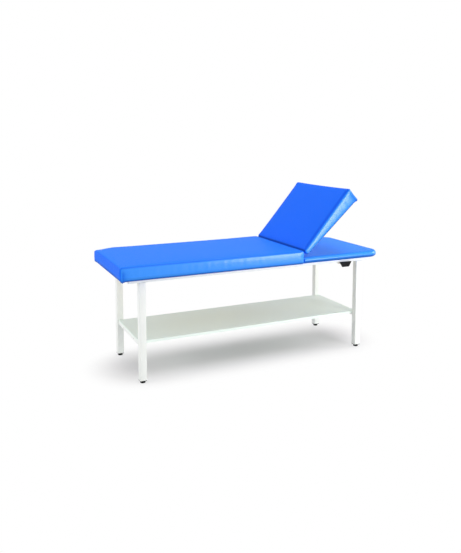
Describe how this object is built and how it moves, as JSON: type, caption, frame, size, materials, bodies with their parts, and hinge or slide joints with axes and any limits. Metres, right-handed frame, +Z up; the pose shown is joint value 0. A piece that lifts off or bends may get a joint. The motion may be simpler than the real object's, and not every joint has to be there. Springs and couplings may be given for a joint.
{
  "type": "massage table",
  "caption": "Padded treatment table with a hinged lift-up wedge back, square tube legs on levelling glides, a lower steel shelf and a brake let go by a paddle under the rail.",
  "frame": {"origin": "on the floor under the middle of the padded top", "axes": "+X from the foot end to the head end, -Y the near side with the paddle, +Z up"},
  "size_m": [1.9298, 0.711, 1.174],
  "materials": {
    "blue_vinyl": "satin",
    "plywood": "matte",
    "white_powder_coat": "satin",
    "shelf_enamel": "gloss",
    "white_plastic": "satin",
    "black_plastic": "satin",
    "black_rubber": "matte",
    "zinc_plated_steel": "satin",
    "brake_lining": "matte"
  },
  "bodies": {
    "table": {"deck_board": "plywood", "deck_pad": "blue_vinyl", "end_rail_foot": "white_powder_coat", "end_rail_head": "white_powder_coat", "hinge_leaf_fixed_far": "zinc_plated_steel", "hinge_leaf_fixed_near": "zinc_plated_steel", "hinge_pin_far": "zinc_plated_steel", "hinge_pin_near": "zinc_plated_steel", "hinge_rail": "white_powder_coat", "leg_foot_far": "white_powder_coat", "leg_foot_near": "white_powder_coat", "leg_head_far": "white_powder_coat", "leg_head_near": "white_powder_coat", "leg_plug_foot_far": "black_plastic", "leg_plug_foot_near": "black_plastic", "leg_plug_head_far": "black_plastic", "leg_plug_head_near": "black_plastic", "main_board": "plywood", "main_pad": "blue_vinyl", "quadrant_guide": "zinc_plated_steel", "rail_plug_foot_far": "white_plastic", "rail_plug_foot_near": "white_plastic", "rail_plug_head_far": "white_plastic", "rail_plug_head_near": "white_plastic", "shaft_bracket_head": "zinc_plated_steel", "shaft_bracket_hinge": "zinc_plated_steel", "shelf": "shelf_enamel", "shelf_rail_foot": "white_powder_coat", "shelf_rail_head": "white_powder_coat", "side_rail_far": "white_powder_coat", "side_rail_near": "white_powder_coat"},
    "back": {"back_board": "plywood", "back_pad": "blue_vinyl", "bumper_high_far": "black_rubber", "bumper_high_near": "black_rubber", "bumper_low_far": "black_rubber", "bumper_low_near": "black_rubber", "hinge_leaf_moving_far": "zinc_plated_steel", "hinge_leaf_moving_near": "zinc_plated_steel", "quadrant_arm": "zinc_plated_steel"},
    "release": {"release_shaft": "zinc_plated_steel", "release_lever": "zinc_plated_steel", "release_paddle": "black_plastic", "brake_arm": "zinc_plated_steel", "brake_lining": "brake_lining", "shaft_ring_hinge": "zinc_plated_steel", "shaft_ring_head": "zinc_plated_steel", "return_spring": "zinc_plated_steel"},
    "glide_foot_near": {"levelling_glide_foot_near": "black_plastic"},
    "glide_foot_far": {"levelling_glide_foot_far": "black_plastic"},
    "glide_head_near": {"levelling_glide_head_near": "black_plastic"},
    "glide_head_far": {"levelling_glide_head_far": "black_plastic"}
  },
  "joints": [
    {"name": "back_hinge", "type": "hinge", "parent": "table", "child": "back", "pos_m": [0.32, 0, 0.748], "axis": [0, -1, 0], "range_deg": [-42, 28]},
    {"name": "release_turn", "type": "hinge", "parent": "table", "child": "release", "pos_m": [0.685, 0.035, 0.624], "axis": [-1, 0, 0], "range_deg": [0, 2.6], "stiffness_Nm_per_rad": 20, "springref_deg": -22.92},
    {"name": "glide_foot_near_screw", "type": "slide", "parent": "table", "child": "glide_foot_near", "axis": [0, 0, -1], "range_m": [0, 0.012]},
    {"name": "glide_foot_far_screw", "type": "slide", "parent": "table", "child": "glide_foot_far", "axis": [0, 0, -1], "range_m": [0, 0.012]},
    {"name": "glide_head_near_screw", "type": "slide", "parent": "table", "child": "glide_head_near", "axis": [0, 0, -1], "range_m": [0, 0.012]},
    {"name": "glide_head_far_screw", "type": "slide", "parent": "table", "child": "glide_head_far", "axis": [0, 0, -1], "range_m": [0, 0.012]}
  ]
}
